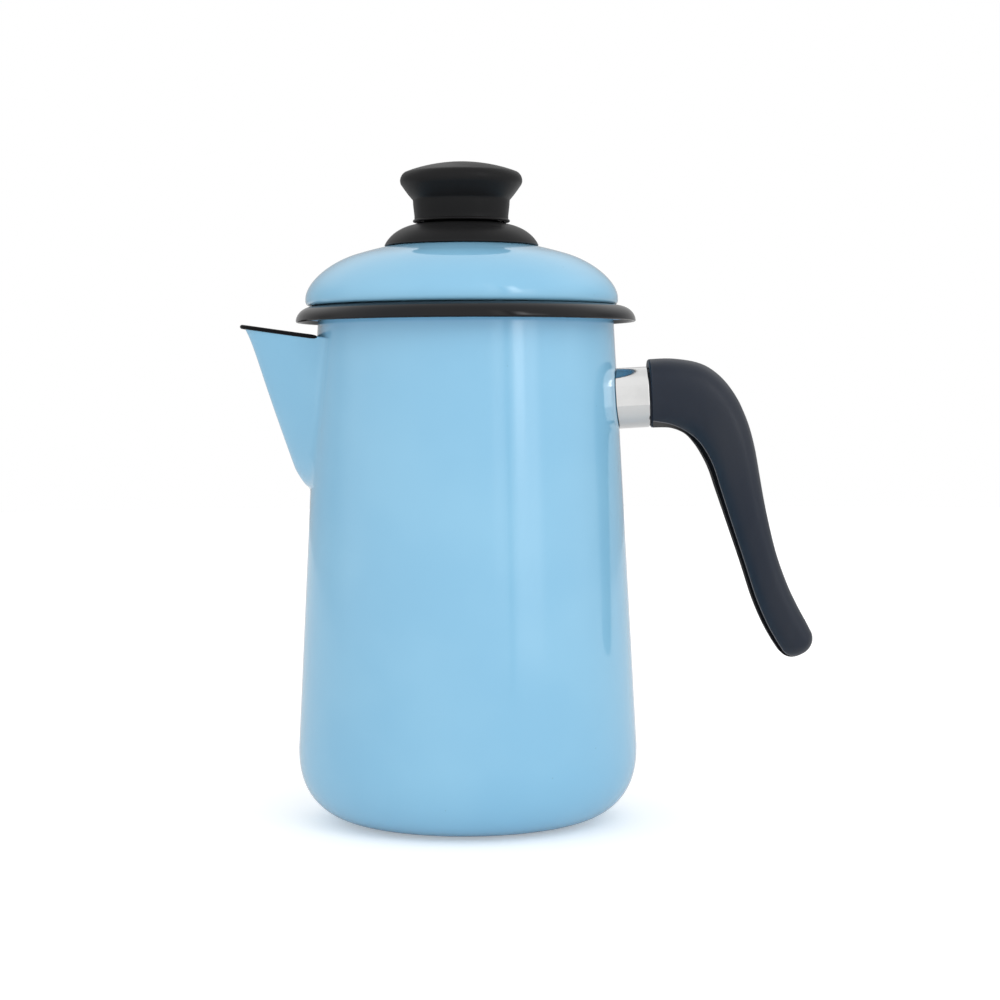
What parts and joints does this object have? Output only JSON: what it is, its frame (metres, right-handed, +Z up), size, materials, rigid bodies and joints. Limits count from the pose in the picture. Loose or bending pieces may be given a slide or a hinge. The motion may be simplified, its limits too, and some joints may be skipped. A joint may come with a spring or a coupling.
{
  "type": "coffee percolator",
  "caption": "Tapered enamelled steel coffee pot with a V spout, drop-in lid with knob, curved plastic handle and a lift-out percolator insert.",
  "frame": {"origin": "centre of the pot's flat base, on the surface it stands on", "axes": "+Z up along the pot's axis, +X towards the handle, -X towards the spout"},
  "size_m": [0.217, 0.1292, 0.2505],
  "materials": {
    "blue_enamel": "high-gloss vitreous enamel",
    "black_enamel": "high-gloss vitreous enamel, on the pot's rim and the spout's lip",
    "black_plastic": "satin moulded phenolic",
    "polished_steel": "polished stainless steel",
    "brass": "turned",
    "aluminium": "spun, satin",
    "silicone": "soft matte"
  },
  "bodies": {
    "pot": {"pot_base": "blue_enamel", "pot_wall": "blue_enamel", "pot_rim": "blue_enamel", "spout": "blue_enamel", "handle_boss": "polished_steel", "ferrule": "polished_steel", "handle": "black_plastic", "handle_lock_washer": "polished_steel", "handle_screw": "polished_steel"},
    "lid": {"lid": "blue_enamel", "knob_skirt": "black_plastic", "knob": "black_plastic", "knob_insert": "brass", "knob_seal": "silicone", "knob_washer": "polished_steel", "knob_screw": "polished_steel"},
    "pump": {"pump_base": "aluminium", "pump_stem": "aluminium", "basket_stop": "aluminium"},
    "basket": {"basket": "aluminium", "basket_tube": "aluminium"},
    "spreader": {"spreader": "aluminium"}
  },
  "joints": [
    {"name": "lid_lift", "type": "slide", "parent": "pot", "child": "lid", "axis": [0, 0, 1], "range_m": [0, 0.4]},
    {"name": "pump_lift", "type": "slide", "parent": "pot", "child": "pump", "axis": [0, 0, 1], "range_m": [0, 0.2]},
    {"name": "basket_lift", "type": "slide", "parent": "pump", "child": "basket", "axis": [0, 0, 1], "range_m": [0, 0.1]},
    {"name": "spreader_lift", "type": "slide", "parent": "basket", "child": "spreader", "axis": [0, 0, 1], "range_m": [0, 0.04]}
  ],
  "couplings": [
    {"joint": "pump_lift", "follows": "lid_lift", "ratio": 0.5},
    {"joint": "basket_lift", "follows": "lid_lift", "ratio": 0.25},
    {"joint": "spreader_lift", "follows": "lid_lift", "ratio": 0.1}
  ]
}
